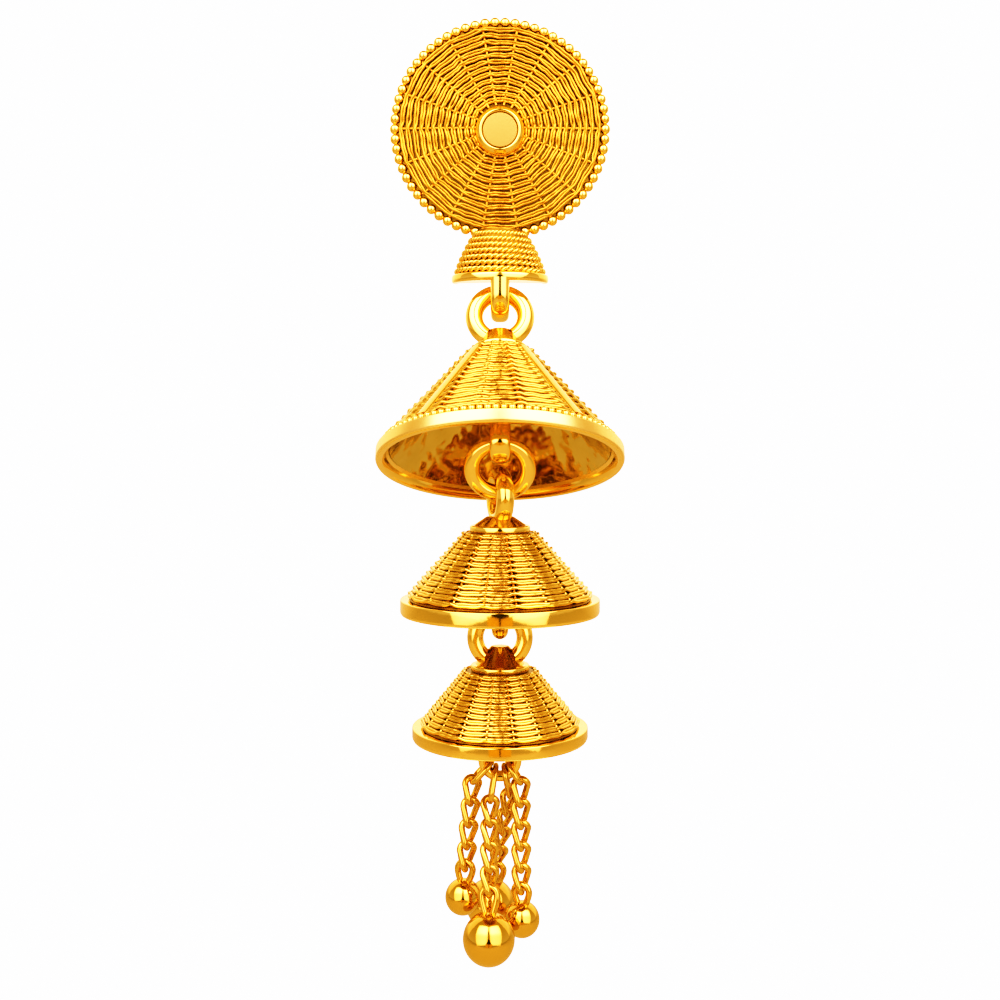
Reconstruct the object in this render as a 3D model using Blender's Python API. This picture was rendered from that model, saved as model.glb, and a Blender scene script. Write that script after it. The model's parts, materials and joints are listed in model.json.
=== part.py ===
# Jhumka earring in polished gold, one of a pair, as it hangs from the ear.
# Metres, +Z up. The origin is where the post meets the back of the disc, the front faces -Y.
import math

import bmesh
import bpy
from mathutils import Matrix, Vector

MM = 0.001

# Clearances between pieces that hang on one another or stand against one another
LINK_GAP = 0.10 * MM
CHAIN_GAP = 0.08 * MM
SOLDER_DEPTH = 0.25 * MM

# Stud: woven disc in a beaded rim, button boss, ear post
BEAD_RING_RADIUS = 7.27 * MM
BEAD_DIAMETER = 0.71 * MM
BEAD_COUNT = 66
DISC_EDGE_THICKNESS = 0.80 * MM
DISC_DOME = 0.35 * MM
DISC_RIM_SHARE = 0.9
DISC_DOME_SHARES = (0.97, 0.66, 0.33, 0)
BEAD_DEPTH_SHARE = 0.6
BEAD_WAIST_SHARE = 0.62
BOSS_DIAMETER = 3.38 * MM
BOSS_FACE_DIAMETER = 2.44 * MM
BOSS_HEIGHT = 0.62 * MM
BOSS_DROP = 0.28 * MM
BOSS_SHOULDER_SHARE = 0.45
BOSS_CORNER_SHARE = 0.88
POST_DIAMETER = 0.90 * MM
POST_LENGTH = 10.5 * MM
POST_TIP = 0.35 * MM
POST_TIP_SHARE = 0.6

# Half bell under the disc, flat at the back, with a closed underside
HALF_BELL_TOP_RADIUS = 1.86 * MM
HALF_BELL_FOOT_RADIUS = 3.08 * MM
HALF_BELL_LIP_RADIUS = 3.38 * MM
HALF_BELL_LIP_HEIGHT = 0.62 * MM
HALF_BELL_LIP_ROUNDING = 0.28
HALF_BELL_HEIGHT = 3.62 * MM
HALF_BELL_BULGE = 0.20 * MM
HALF_BELL_AXIS_Y = -0.45 * MM
BACK_STEP = 0.05 * MM

# Loops and rings that carry the tiers: diameter of the wire, and radius at the middle of the wire
STUD_LOOP_WIRE = 1.28 * MM
STUD_LOOP_WIDTH = 1.28 * MM
STUD_LOOP_RADIUS = 1.28 * MM
STUD_LOOP_DROP = 0.85 * MM
UPPER_RING_WIRE = 1.18 * MM
UPPER_RING_RADIUS = 1.75 * MM
UPPER_LOOP_WIRE = 0.72 * MM
UPPER_LOOP_WIDTH = 1.34 * MM
UPPER_LOOP_RADIUS = 1.14 * MM
LINK_RING_WIRE = 1.10 * MM
LINK_RING_RADIUS = 1.855 * MM
MIDDLE_RING_WIRE = 1.18 * MM
MIDDLE_RING_RADIUS = 1.45 * MM
MIDDLE_RING_TURN = math.radians(14)
MIDDLE_LOOP_WIRE = 1.10 * MM
MIDDLE_LOOP_RADIUS = 1.35 * MM
LOWER_RING_WIRE = 1.09 * MM
LOWER_RING_RADIUS = 1.64 * MM
TASSEL_LOOP_WIRE = 0.72 * MM
TASSEL_LOOP_RADIUS = 1.085 * MM

# How the pieces stand at rest: the bells show their mouths, the link ring leans the other way
UPPER_TILT = math.radians(22.5)
LINK_LEAN = math.radians(22.5)
LOWER_TILT = math.radians(2.5)

# Walls of the three bells
BELL_WALL = 0.50 * MM
BAND_WALL = 0.50 * MM
BAND_LIP = 0.22 * MM

# One table for the three bells. Depths are measured down the axis from where the bell hangs.
BELLS = {
    "upper": {
        "cap_top_radius": 0.93 * MM,
        "cap_top_depth": 2.96 * MM,
        "cap_foot_radius": 1.50 * MM,
        "collar_radius": 1.92 * MM,
        "collar_depth": 4.15 * MM,
        "collar_height": 0.32 * MM,
        "wall_top_radius": 2.16 * MM,
        "band_radius": 8.04 * MM,
        "band_depth": 11.50 * MM,
        "band_height": 0.85 * MM,
        "ledge": 0.20 * MM,
        "loop_depth": 10.65 * MM,
        "sides": 48,
    },
    "middle": {
        "cap_top_radius": 0.87 * MM,
        "cap_top_depth": 1.55 * MM,
        "cap_foot_radius": 1.80 * MM,
        "collar_radius": 2.00 * MM,
        "collar_depth": 2.14 * MM,
        "collar_height": 0.46 * MM,
        "wall_top_radius": 2.42 * MM,
        "band_radius": 6.62 * MM,
        "band_depth": 7.00 * MM,
        "band_height": 0.98 * MM,
        "ledge": 0.26 * MM,
        "loop_depth": 7.95 * MM,
        "sides": 44,
    },
    "lower": {
        "cap_top_radius": 0.60 * MM,
        "cap_top_depth": 2.20 * MM,
        "cap_foot_radius": 1.62 * MM,
        "collar_radius": 1.94 * MM,
        "collar_depth": 3.40 * MM,
        "collar_height": 0.40 * MM,
        "wall_top_radius": 2.42 * MM,
        "band_radius": 5.82 * MM,
        "band_depth": 7.48 * MM,
        "band_height": 0.82 * MM,
        "ledge": 0.36 * MM,
        "loop_depth": 9.76 * MM,
        "sides": 40,
    },
}

# Tassel: four twisted chains, each ending in a ball with a soldered eye
CHAIN_WIRE = 0.43 * MM
LINK_LENGTH = 1.76 * MM
LINK_WIDTH = 0.98 * MM
LINK_TWIST = math.radians(-90)
LINK_BITE = 0.12 * MM
TOP_LINK_WIRE = 0.37 * MM
TOP_LINK_WIDTH = 1.30 * MM
EYE_WIDTH = 1.04 * MM
EYE_FOOT_WIDTH = 0.50 * MM
EYE_TURN = math.radians(15)
BALLS = {
    "large": {"diameter": 3.36 * MM, "eye_length": 1.70 * MM},
    "small": {"diameter": 2.36 * MM, "eye_length": 1.38 * MM},
}

# Each chain hangs at an angle round the tassel loop. Its top link leans, and the rest of it has a
# lean of its own: sideways to +X and forwards to -Y, in degrees.
CHAINS = {
    "left": {
        "hook": -62,
        "top_lean": (-42, -6),
        "top_length": 1.95 * MM,
        "lean": (-4.6, 3),
        "links": 4,
        "ball": "small",
    },
    "front": {
        "hook": -20,
        "top_lean": (-10, 22),
        "top_length": 2.34 * MM,
        "lean": (-0.5, 14),
        "links": 4,
        "ball": "large",
    },
    "back": {
        "hook": 20,
        "top_lean": (10, -22),
        "top_length": 2.24 * MM,
        "lean": (-9, -11),
        "links": 4,
        "ball": "large",
    },
    "right": {
        "hook": 52,
        "top_lean": (32, 14),
        "top_length": 1.62 * MM,
        "lean": (0.5, 1),
        "links": 5,
        "ball": "small",
    },
}

# How finely round shapes are divided
RING_STEPS = 24
WIRE_SIDES = 8
LINK_STEPS = 12
LINK_SIDES = 6
DISC_SIDES = 60
BALL_SIDES = 16
BALL_BANDS = 10

GOLD = (1.0, 0.66, 0.20, 1.0)
GOLD_ROUGHNESS = {"polished": 0.12, "woven": 0.24}
SHARP_ANGLE = math.radians(35)

AXIS_X = Vector((1, 0, 0))
AXIS_Y = Vector((0, 1, 0))
DOWN = Vector((0, 0, -1))


def gold_material(name, finish):
    material = bpy.data.materials.new(name)
    material.use_nodes = True
    shader = material.node_tree.nodes["Principled BSDF"]
    shader.inputs["Base Color"].default_value = GOLD
    shader.inputs["Metallic"].default_value = 1.0
    shader.inputs["Roughness"].default_value = GOLD_ROUGHNESS[finish]
    return material


def object_from(name, shape):
    """Close the shape's faces outwards and put it in the scene as one object."""
    bmesh.ops.remove_doubles(shape, verts=shape.verts, dist=1e-7)
    bmesh.ops.recalc_face_normals(shape, faces=shape.faces)
    mesh = bpy.data.meshes.new(name)
    shape.to_mesh(mesh)
    shape.free()
    item = bpy.data.objects.new(name, mesh)
    bpy.context.scene.collection.objects.link(item)
    return item


def turned(name, profile, sides):
    """Turn a closed outline of (radius, depth) about the vertical, depth running down."""
    shape = bmesh.new()
    corners = [shape.verts.new((radius, 0, -depth)) for radius, depth in profile]
    pairs = zip(corners, corners[1:] + corners[:1])
    edges = [shape.edges.new(pair) for pair in pairs if pair[0].co.x > 0 or pair[1].co.x > 0]
    bmesh.ops.spin(shape, geom=corners + edges, cent=(0, 0, 0), axis=(0, 0, 1), dvec=(0, 0, 0),
                   angle=2 * math.pi, steps=sides, use_merge=True)
    return object_from(name, shape)


def swept(name, points, normals, width, thickness, sides, closed=True):
    """Draw a wire along points. Width lies along each normal, thickness across it."""
    shape = bmesh.new()
    count = len(points)
    sections = []
    for index, point in enumerate(points):
        after = points[(index + 1) % count] if closed or index < count - 1 else point
        before = points[index - 1] if closed or index > 0 else point
        tangent = (after - before).normalized()
        across = tangent.cross(normals[index]).normalized()
        along = across.cross(tangent).normalized()
        section = []
        for side in range(sides):
            angle = 2 * math.pi * (side + 0.5) / sides
            offset = along * (math.cos(angle) * width / 2) + across * (math.sin(angle) * thickness / 2)
            section.append(shape.verts.new(point + offset))
        sections.append(section)
    pairs = list(zip(sections, sections[1:] + sections[:1])) if closed else zip(sections, sections[1:])
    for near, far in pairs:
        for side in range(sides):
            other = (side + 1) % sides
            shape.faces.new((near[side], near[other], far[other], far[side]))
    if not closed:
        shape.faces.new(sections[0])
        shape.faces.new(sections[-1])
    return object_from(name, shape)


def oval(radius, length, steps):
    """Closed oval as (across, along) pairs: two half circles whose far points lie length apart."""
    straight = length / 2 - radius
    pairs = []
    for step in range(steps):
        angle = 2 * math.pi * (step + 0.5) / steps
        lift = straight if math.sin(angle) > 0 else -straight
        pairs.append((radius * math.cos(angle), lift + radius * math.sin(angle)))
    return pairs


def ring(name, centre, across, along, radius, width, thickness):
    """Round ring of wire in the plane of the two directions."""
    pairs = oval(radius, 2 * radius, RING_STEPS)
    points = [centre + across * a + along * b for a, b in pairs]
    return swept(name, points, [across.cross(along)] * len(points), width, thickness, WIRE_SIDES)


def bail(name, centre, across, down, radius, leg, width, thickness):
    """Long loop of wire: a half circle at the bottom and two straight legs."""
    half = RING_STEPS // 2
    arc = [math.pi * step / half for step in range(half + 1)]
    points = [centre + across * radius - down * leg]
    points += [centre + across * (radius * math.cos(a)) + down * (radius * math.sin(a)) for a in arc]
    points.append(centre - across * radius - down * leg)
    return swept(name, points, [across.cross(down)] * len(points), width, thickness, WIRE_SIDES,
                 closed=False)


def place(item, matrix):
    item.data.transform(matrix)
    return item


def fused(name, items, finish):
    """Join soldered pieces into one closed body, dressed and named."""
    base = items[0]
    for other in items[1:]:
        joint = base.modifiers.new("solder", "BOOLEAN")
        joint.operation = "UNION"
        joint.solver = "EXACT"
        joint.object = other
    bpy.context.view_layer.update()
    evaluated = base.evaluated_get(bpy.context.evaluated_depsgraph_get())
    mesh = bpy.data.meshes.new_from_object(evaluated)
    for other in items:
        bpy.data.objects.remove(other)
    shape = bmesh.new()
    shape.from_mesh(mesh)
    bpy.data.meshes.remove(mesh)
    bmesh.ops.triangulate(shape, faces=shape.faces)
    item = object_from(name, shape)
    item.data.shade_smooth()
    item.data.set_sharp_from_angle(angle=SHARP_ANGLE)
    item.data.materials.append(gold_material(name + "_gold", finish))
    return item


def hung(item, parent, pivot, tilt=0):
    """Stand a piece on the point that it swings about, under the piece that carries it."""
    item.location = pivot
    item.rotation_euler = (-tilt, 0, 0)
    item.parent = parent
    item.matrix_parent_inverse = parent.matrix_world.inverted()
    bpy.context.view_layer.update()
    return item


def flat_cutter(middle_z, size):
    """Block just short of the back plane of the disc, to cut the half bell flat."""
    shape = bmesh.new()
    bmesh.ops.create_cube(shape, size=size)
    bmesh.ops.translate(shape, vec=(0, size / 2 - BACK_STEP, middle_z), verts=shape.verts)
    return object_from("back_cutter", shape)


def disc_profile():
    """Outline of the disc, from its back to its gently domed front."""
    edge = BEAD_RING_RADIUS
    front = DISC_EDGE_THICKNESS
    rise = [(edge * share, front + DISC_DOME * (1 - share ** 2)) for share in DISC_DOME_SHARES]
    return [(0, 0), (edge, 0), (edge, front * DISC_RIM_SHARE)] + rise


def beaded_rim():
    """Ring of beads in one lobed body, thick at each bead and thin between two."""
    bead = BEAD_DIAMETER / 2
    middle = -DISC_EDGE_THICKNESS * BEAD_DEPTH_SHARE
    shape = bmesh.new()
    sections = []
    for step in range(BEAD_COUNT * 2):
        angle = 2 * math.pi * step / (BEAD_COUNT * 2)
        size = bead if step % 2 == 0 else bead * BEAD_WAIST_SHARE
        outward = Vector((math.cos(angle), 0, math.sin(angle)))
        section = []
        for side in range(LINK_SIDES):
            turn = 2 * math.pi * side / LINK_SIDES
            place_at = outward * (BEAD_RING_RADIUS + size * math.cos(turn))
            section.append(shape.verts.new(place_at + AXIS_Y * (middle + size * math.sin(turn))))
        sections.append(section)
    for near, far in zip(sections, sections[1:] + sections[:1]):
        for side in range(LINK_SIDES):
            other = (side + 1) % LINK_SIDES
            shape.faces.new((near[side], near[other], far[other], far[side]))
    return object_from("beaded_rim", shape)


def half_bell(top):
    """Turned bell with a flat back, from just above the beads down to its rounded lip."""
    lip_top = HALF_BELL_HEIGHT - HALF_BELL_LIP_HEIGHT
    middle = (HALF_BELL_TOP_RADIUS + HALF_BELL_FOOT_RADIUS) / 2 + HALF_BELL_BULGE
    rounding = HALF_BELL_LIP_HEIGHT * HALF_BELL_LIP_ROUNDING
    profile = [
        (0, 0),
        (HALF_BELL_TOP_RADIUS, 0),
        (middle, lip_top / 2),
        (HALF_BELL_FOOT_RADIUS, lip_top),
        (HALF_BELL_LIP_RADIUS - rounding, lip_top),
        (HALF_BELL_LIP_RADIUS, lip_top + rounding),
        (HALF_BELL_LIP_RADIUS, HALF_BELL_HEIGHT - rounding),
        (HALF_BELL_LIP_RADIUS - rounding, HALF_BELL_HEIGHT),
        (0, HALF_BELL_HEIGHT),
    ]
    bell = turned("half_bell", profile, 36)
    place(bell, Matrix.Translation((0, HALF_BELL_AXIS_Y, top)))
    cutter = flat_cutter(top - HALF_BELL_HEIGHT / 2, 2 * (HALF_BELL_HEIGHT + HALF_BELL_LIP_RADIUS))
    cut = bell.modifiers.new("flat_back", "BOOLEAN")
    cut.operation = "DIFFERENCE"
    cut.solver = "EXACT"
    cut.object = cutter
    bpy.context.view_layer.update()
    evaluated = bell.evaluated_get(bpy.context.evaluated_depsgraph_get())
    mesh = bpy.data.meshes.new_from_object(evaluated)
    bell.modifiers.clear()
    bell.data = mesh
    bpy.data.objects.remove(cutter)
    return bell


def build_stud():
    """Disc, beads, boss, half bell and loop, all soldered. Returns it and where the ring hangs."""
    front_turn = Matrix.Rotation(math.radians(-90), 4, "X")
    disc = place(turned("disc", disc_profile(), DISC_SIDES), front_turn)
    face = DISC_EDGE_THICKNESS + DISC_DOME
    slope = (BOSS_DIAMETER - BOSS_FACE_DIAMETER) / 2
    boss_profile = [
        (0, face - SOLDER_DEPTH),
        (BOSS_DIAMETER / 2, face - SOLDER_DEPTH),
        (BOSS_DIAMETER / 2, face + BOSS_HEIGHT * BOSS_SHOULDER_SHARE),
        (BOSS_DIAMETER / 2 - slope * BOSS_SHOULDER_SHARE, face + BOSS_HEIGHT * BOSS_CORNER_SHARE),
        (BOSS_FACE_DIAMETER / 2, face + BOSS_HEIGHT),
        (0, face + BOSS_HEIGHT),
    ]
    boss = place(turned("boss", boss_profile, 36), Matrix.Translation(DOWN * BOSS_DROP) @ front_turn)
    top = -BEAD_RING_RADIUS + SOLDER_DEPTH
    bell = half_bell(top)
    underside = top - HALF_BELL_HEIGHT
    reach = STUD_LOOP_RADIUS + STUD_LOOP_WIRE / 2
    centre = Vector((0, -reach - 2 * BACK_STEP, underside - STUD_LOOP_DROP))
    leg = STUD_LOOP_DROP + SOLDER_DEPTH
    loop = bail("stud_loop", centre, AXIS_Y, DOWN, STUD_LOOP_RADIUS, leg, STUD_LOOP_WIDTH,
                STUD_LOOP_WIRE)
    stud = fused("stud", [disc, beaded_rim(), boss, bell, loop], "woven")
    return stud, hanging_point(centre, STUD_LOOP_RADIUS, STUD_LOOP_WIRE, UPPER_RING_WIRE)


def build_post(stud):
    """Plain straight post behind the disc, with a rounded tip."""
    radius = POST_DIAMETER / 2
    profile = [
        (0, 0),
        (radius, 0),
        (radius, POST_LENGTH - POST_TIP),
        (radius * POST_TIP_SHARE, POST_LENGTH),
        (0, POST_LENGTH),
    ]
    post = place(turned("post", profile, 16), Matrix.Rotation(math.radians(90), 4, "X"))
    hung(fused("ear_post", [post], "polished"), stud, AXIS_Y * LINK_GAP)


def hanging_point(centre, radius, wire, hung_wire):
    """Middle of a wire that hangs in the bottom of a loop, a small gap above the loop's wire."""
    slack = radius - wire / 2 - hung_wire / 2 - LINK_GAP
    return centre + DOWN * slack


def bell_profile(sizes):
    """Outline of a bell's cap, collar, wall and band, and back up its inside."""
    collar_foot = sizes["collar_depth"] + sizes["collar_height"]
    band_foot = sizes["band_depth"] + sizes["band_height"]
    wall_foot = sizes["band_radius"] - sizes["ledge"]
    slope = (wall_foot - sizes["wall_top_radius"]) / (sizes["band_depth"] - collar_foot)
    inset = BELL_WALL * math.hypot(1, slope)
    inner_foot = wall_foot - inset
    inner_top = collar_foot + BELL_WALL / 2
    inner_top_radius = sizes["wall_top_radius"] - inset + slope * (inner_top - collar_foot)
    band_inside = sizes["band_radius"] - BAND_WALL
    return [
        (0, sizes["cap_top_depth"]),
        (sizes["cap_top_radius"], sizes["cap_top_depth"]),
        (sizes["cap_foot_radius"], sizes["collar_depth"]),
        (sizes["collar_radius"], sizes["collar_depth"]),
        (sizes["collar_radius"], collar_foot),
        (sizes["wall_top_radius"], collar_foot),
        (wall_foot, sizes["band_depth"]),
        (sizes["band_radius"], sizes["band_depth"]),
        (sizes["band_radius"], band_foot - BAND_LIP),
        (sizes["band_radius"] - BAND_LIP, band_foot),
        (band_inside, band_foot),
        (band_inside - BAND_LIP, sizes["band_depth"]),
        (inner_foot, sizes["band_depth"] - BELL_WALL / 2),
        (inner_top_radius, inner_top),
        (0, inner_top),
    ]


def inner_top(sizes):
    return sizes["collar_depth"] + sizes["collar_height"] + BELL_WALL / 2


def build_upper_bell(stud, pivot):
    """First bell with the ring it hangs by and the loop inside it, and where the link hangs."""
    sizes = BELLS["upper"]
    shell = turned("shell", bell_profile(sizes), sizes["sides"])
    hoop = ring("hoop", DOWN * UPPER_RING_RADIUS, AXIS_X, DOWN, UPPER_RING_RADIUS, UPPER_RING_WIRE,
                UPPER_RING_WIRE)
    loop_centre = DOWN * sizes["loop_depth"]
    leg = sizes["loop_depth"] - inner_top(sizes) + SOLDER_DEPTH
    loop = bail("loop", loop_centre, AXIS_Y, DOWN, UPPER_LOOP_RADIUS, leg, UPPER_LOOP_WIDTH,
                UPPER_LOOP_WIRE)
    bell = hung(fused("upper_bell", [shell, hoop, loop], "woven"), stud, pivot, UPPER_TILT)
    centre = bell.matrix_world @ loop_centre
    return bell, hanging_point(centre, UPPER_LOOP_RADIUS, UPPER_LOOP_WIRE, LINK_RING_WIRE)


def build_link_ring(upper_bell, pivot):
    """Free ring between the first two bells, and the middle of its lowest wire."""
    hoop = ring("hoop", DOWN * LINK_RING_RADIUS, AXIS_X, DOWN, LINK_RING_RADIUS, LINK_RING_WIRE,
                LINK_RING_WIRE)
    link = hung(fused("link_ring", [hoop], "polished"), upper_bell, pivot, -LINK_LEAN)
    return link, link.matrix_world @ (DOWN * (2 * LINK_RING_RADIUS))


def build_middle_bell(link_ring, pivot):
    """Second bell with the ring on its cap and the loop inside it, and where the third hangs."""
    sizes = BELLS["middle"]
    shell = turned("shell", bell_profile(sizes), sizes["sides"])
    slack = MIDDLE_RING_RADIUS - MIDDLE_RING_WIRE / 2 - LINK_RING_WIRE / 2 - LINK_GAP
    across = Matrix.Rotation(MIDDLE_RING_TURN, 3, "Z") @ AXIS_Y
    hoop = ring("hoop", DOWN * slack, across, DOWN, MIDDLE_RING_RADIUS, MIDDLE_RING_WIRE,
                MIDDLE_RING_WIRE)
    room = MIDDLE_LOOP_RADIUS - MIDDLE_LOOP_WIRE / 2 - LOWER_RING_WIRE / 2 - LINK_GAP
    loop_centre = DOWN * (sizes["loop_depth"] - room)
    leg = sizes["loop_depth"] - room - inner_top(sizes) + SOLDER_DEPTH
    loop = bail("loop", loop_centre, AXIS_Y, DOWN, MIDDLE_LOOP_RADIUS, leg, MIDDLE_LOOP_WIRE,
                MIDDLE_LOOP_WIRE)
    bell = hung(fused("middle_bell", [shell, hoop, loop], "woven"), link_ring, pivot, LOWER_TILT)
    return bell, bell.matrix_world @ (DOWN * sizes["loop_depth"])


def build_lower_bell(middle_bell, pivot):
    """Third bell with the ring on its cap and the long tassel loop, and the middle of that loop."""
    sizes = BELLS["lower"]
    shell = turned("shell", bell_profile(sizes), sizes["sides"])
    hoop = ring("hoop", DOWN * LOWER_RING_RADIUS, AXIS_X, DOWN, LOWER_RING_RADIUS, LOWER_RING_WIRE,
                LOWER_RING_WIRE)
    loop_centre = DOWN * sizes["loop_depth"]
    leg = sizes["loop_depth"] - inner_top(sizes) + SOLDER_DEPTH
    loop = bail("loop", loop_centre, AXIS_X, DOWN, TASSEL_LOOP_RADIUS, leg, TASSEL_LOOP_WIRE,
                TASSEL_LOOP_WIRE)
    bell = hung(fused("lower_bell", [shell, hoop, loop], "woven"), middle_bell, pivot, LOWER_TILT)
    return bell, bell.matrix_world @ loop_centre


def leaning(sideways, forwards):
    """Unit direction that points down and leans to +X and to -Y by the two angles."""
    return Vector((math.tan(math.radians(sideways)), -math.tan(math.radians(forwards)), -1)).normalized()


def twisted_link(name, start, down, face, width, length, wire, twist):
    """Oval link from its upper wire down, its plane turning by twist on the way."""
    middle = start + down * (length / 2)
    points = []
    normals = []
    for across_at, along_at in oval(width / 2, length, LINK_STEPS):
        turn = Matrix.Rotation(twist * along_at / length, 3, down)
        across = turn @ face
        points.append(middle + across * across_at + down * along_at)
        normals.append(across.cross(down))
    return swept(name, points, normals, wire, wire, LINK_SIDES)


def build_chain(side, lower_bell, loop_centre):
    """One chain of the tassel and the ball at its end."""
    plan = CHAINS[side]
    hook = math.radians(plan["hook"])
    outward = Matrix.Rotation(-LOWER_TILT, 3, "X") @ Vector((math.sin(hook), 0, -math.cos(hook)))
    top_down = leaning(*plan["top_lean"])
    seat = (TASSEL_LOOP_WIRE + TOP_LINK_WIRE) / 2 + CHAIN_GAP
    start = outward * TASSEL_LOOP_RADIUS - top_down * seat
    top_face = AXIS_Y - top_down * top_down.dot(AXIS_Y)
    top_face.normalize()
    top_length = plan["top_length"]
    items = [twisted_link("top_link", start, top_down, top_face, TOP_LINK_WIDTH, top_length,
                          TOP_LINK_WIRE, 0)]
    down = leaning(*plan["lean"])
    grip = (CHAIN_WIRE + TOP_LINK_WIRE) / 2 - LINK_BITE
    place_at = start + top_down * top_length - down * grip
    sideways = down.cross(top_face).normalized()
    face = Matrix.Rotation(LINK_TWIST / 2, 3, down) @ sideways
    for index in range(plan["links"]):
        items.append(twisted_link("link", place_at, down, face, LINK_WIDTH, LINK_LENGTH, CHAIN_WIRE,
                                  LINK_TWIST))
        place_at = place_at + down * (LINK_LENGTH - CHAIN_WIRE + LINK_BITE)
        face = Matrix.Rotation(LINK_TWIST + math.pi / 2, 3, down) @ face
    chain = hung(fused("chain_" + side, items, "polished"), lower_bell, loop_centre)
    last_bottom = place_at + down * (CHAIN_WIRE - LINK_BITE)
    eye_top = last_bottom - down * (CHAIN_WIRE + CHAIN_GAP)
    eye_face = Matrix.Rotation(EYE_TURN - LINK_TWIST / 2, 3, down) @ face
    ball = build_ball("ball_" + side, BALLS[plan["ball"]], down, eye_face)
    hung(ball, chain, loop_centre + eye_top)


def build_ball(name, sizes, down, face):
    """Ball with the pear-shaped eye that it hangs by, the top of the eye at the origin."""
    diameter = sizes["diameter"]
    crown = EYE_WIDTH / 2
    foot = sizes["eye_length"] + SOLDER_DEPTH
    arc = [math.pi * step / (LINK_STEPS // 2) for step in range(LINK_STEPS // 2 + 1)]
    points = [down * foot + face * (EYE_FOOT_WIDTH / 2)]
    points += [down * (crown - crown * math.sin(a)) + face * (crown * math.cos(a)) for a in arc]
    points.append(down * foot - face * (EYE_FOOT_WIDTH / 2))
    normals = [face.cross(down)] * len(points)
    eye = swept("eye", points, normals, CHAIN_WIRE, CHAIN_WIRE, LINK_SIDES, closed=False)
    arc = [math.pi * band / BALL_BANDS for band in range(BALL_BANDS + 1)]
    profile = [(diameter / 2 * abs(math.sin(a)), -diameter / 2 * math.cos(a)) for a in arc]
    profile[0] = (0, profile[0][1])
    profile[-1] = (0, profile[-1][1])
    ball = turned("ball", profile, BALL_SIDES)
    centre = down * (sizes["eye_length"] + diameter / 2 - CHAIN_WIRE / 2)
    place(ball, Matrix.Translation(centre) @ DOWN.rotation_difference(down).to_matrix().to_4x4())
    return fused(name, [ball, eye], "polished")


def build_earring():
    for item in list(bpy.data.objects):
        bpy.data.objects.remove(item)
    stud, pivot = build_stud()
    build_post(stud)
    upper_bell, pivot = build_upper_bell(stud, pivot)
    link_ring, pivot = build_link_ring(upper_bell, pivot)
    middle_bell, pivot = build_middle_bell(link_ring, pivot)
    lower_bell, pivot = build_lower_bell(middle_bell, pivot)
    for side in CHAINS:
        build_chain(side, lower_bell, pivot)


build_earring()
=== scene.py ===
import json
import math

import bmesh
import bpy
from mathutils import Matrix, Vector


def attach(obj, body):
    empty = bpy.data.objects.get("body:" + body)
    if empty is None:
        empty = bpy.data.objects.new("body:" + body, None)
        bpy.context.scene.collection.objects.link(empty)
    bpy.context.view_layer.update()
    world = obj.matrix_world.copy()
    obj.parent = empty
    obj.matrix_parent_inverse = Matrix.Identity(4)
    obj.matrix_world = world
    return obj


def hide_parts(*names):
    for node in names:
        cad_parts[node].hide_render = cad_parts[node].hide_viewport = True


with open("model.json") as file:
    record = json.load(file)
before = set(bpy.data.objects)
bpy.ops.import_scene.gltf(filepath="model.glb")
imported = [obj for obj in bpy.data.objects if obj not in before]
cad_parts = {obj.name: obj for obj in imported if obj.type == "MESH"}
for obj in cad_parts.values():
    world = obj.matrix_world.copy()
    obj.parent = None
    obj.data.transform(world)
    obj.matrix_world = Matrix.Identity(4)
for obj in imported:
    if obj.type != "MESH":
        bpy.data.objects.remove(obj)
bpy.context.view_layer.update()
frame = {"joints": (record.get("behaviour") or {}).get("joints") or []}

mm = 0.001
axisX = Vector((1, 0, 0))
axisY = Vector((0, 1, 0))
down = Vector((0, 0, -1))
pivots = {joint["child"]: Vector(joint["pos_m"]) for joint in frame["joints"]}
pieceNames = []


# objects and node trees

def addObject(name, data):
    item = bpy.data.objects.new(name, data)
    bpy.context.scene.collection.objects.link(item)
    return item


def newTree(name, inputs, outputs=(("Geometry", "Geometry"),), kind="Geometry"):
    tree = bpy.data.node_groups.new(name, kind + "NodeTree")
    for way, sockets in (("INPUT", inputs), ("OUTPUT", outputs)):
        for label, socketKind in sockets:
            tree.interface.new_socket(label, in_out=way, socket_type="NodeSocket" + socketKind)
    return tree, tree.nodes.new("NodeGroupInput").outputs


def put(tree, value, socket):
    if isinstance(value, bpy.types.NodeSocket):
        tree.links.new(value, socket)
    else:
        socket.default_value = value


def calc(tree, operation, *values):
    node = tree.nodes.new("ShaderNodeMath")
    node.operation = operation
    for index, value in enumerate(values):
        put(tree, value, node.inputs[index])
    return node.outputs[0]


# adds a node, fills the inputs named with underscores for spaces, and gives back one output
def addNode(tree, kind, output, **inputs):
    node = tree.nodes.new(kind)
    for label, value in inputs.items():
        put(tree, value, node.inputs[label.replace("_", " ")])
    return node.outputs[output]


def blend(tree, share, first, second):
    node = tree.nodes.new("ShaderNodeMix")
    node.data_type = "RGBA"
    for label, value in (("Factor", share), ("A", first), ("B", second)):
        put(tree, value, node.inputs[label])
    return node.outputs["Result"]


# noise that stays with the piece
def objectNoise(tree, **inputs):
    place = addNode(tree, "ShaderNodeTexCoord", "Object")
    return addNode(tree, "ShaderNodeTexNoise", "Fac", Vector=place, **inputs)


def newMaterial(name):
    material = bpy.data.materials.new(name)
    material.use_nodes = True
    return material, material.node_tree


# camera and light

camera = {
    "place": (0, -81.8 * mm, -17.5 * mm),
    "lookDown": 2.341,
    "lens": 41.894,
    "shift": -0.07,     # the picture has more below the camera's height than above it
}

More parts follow.
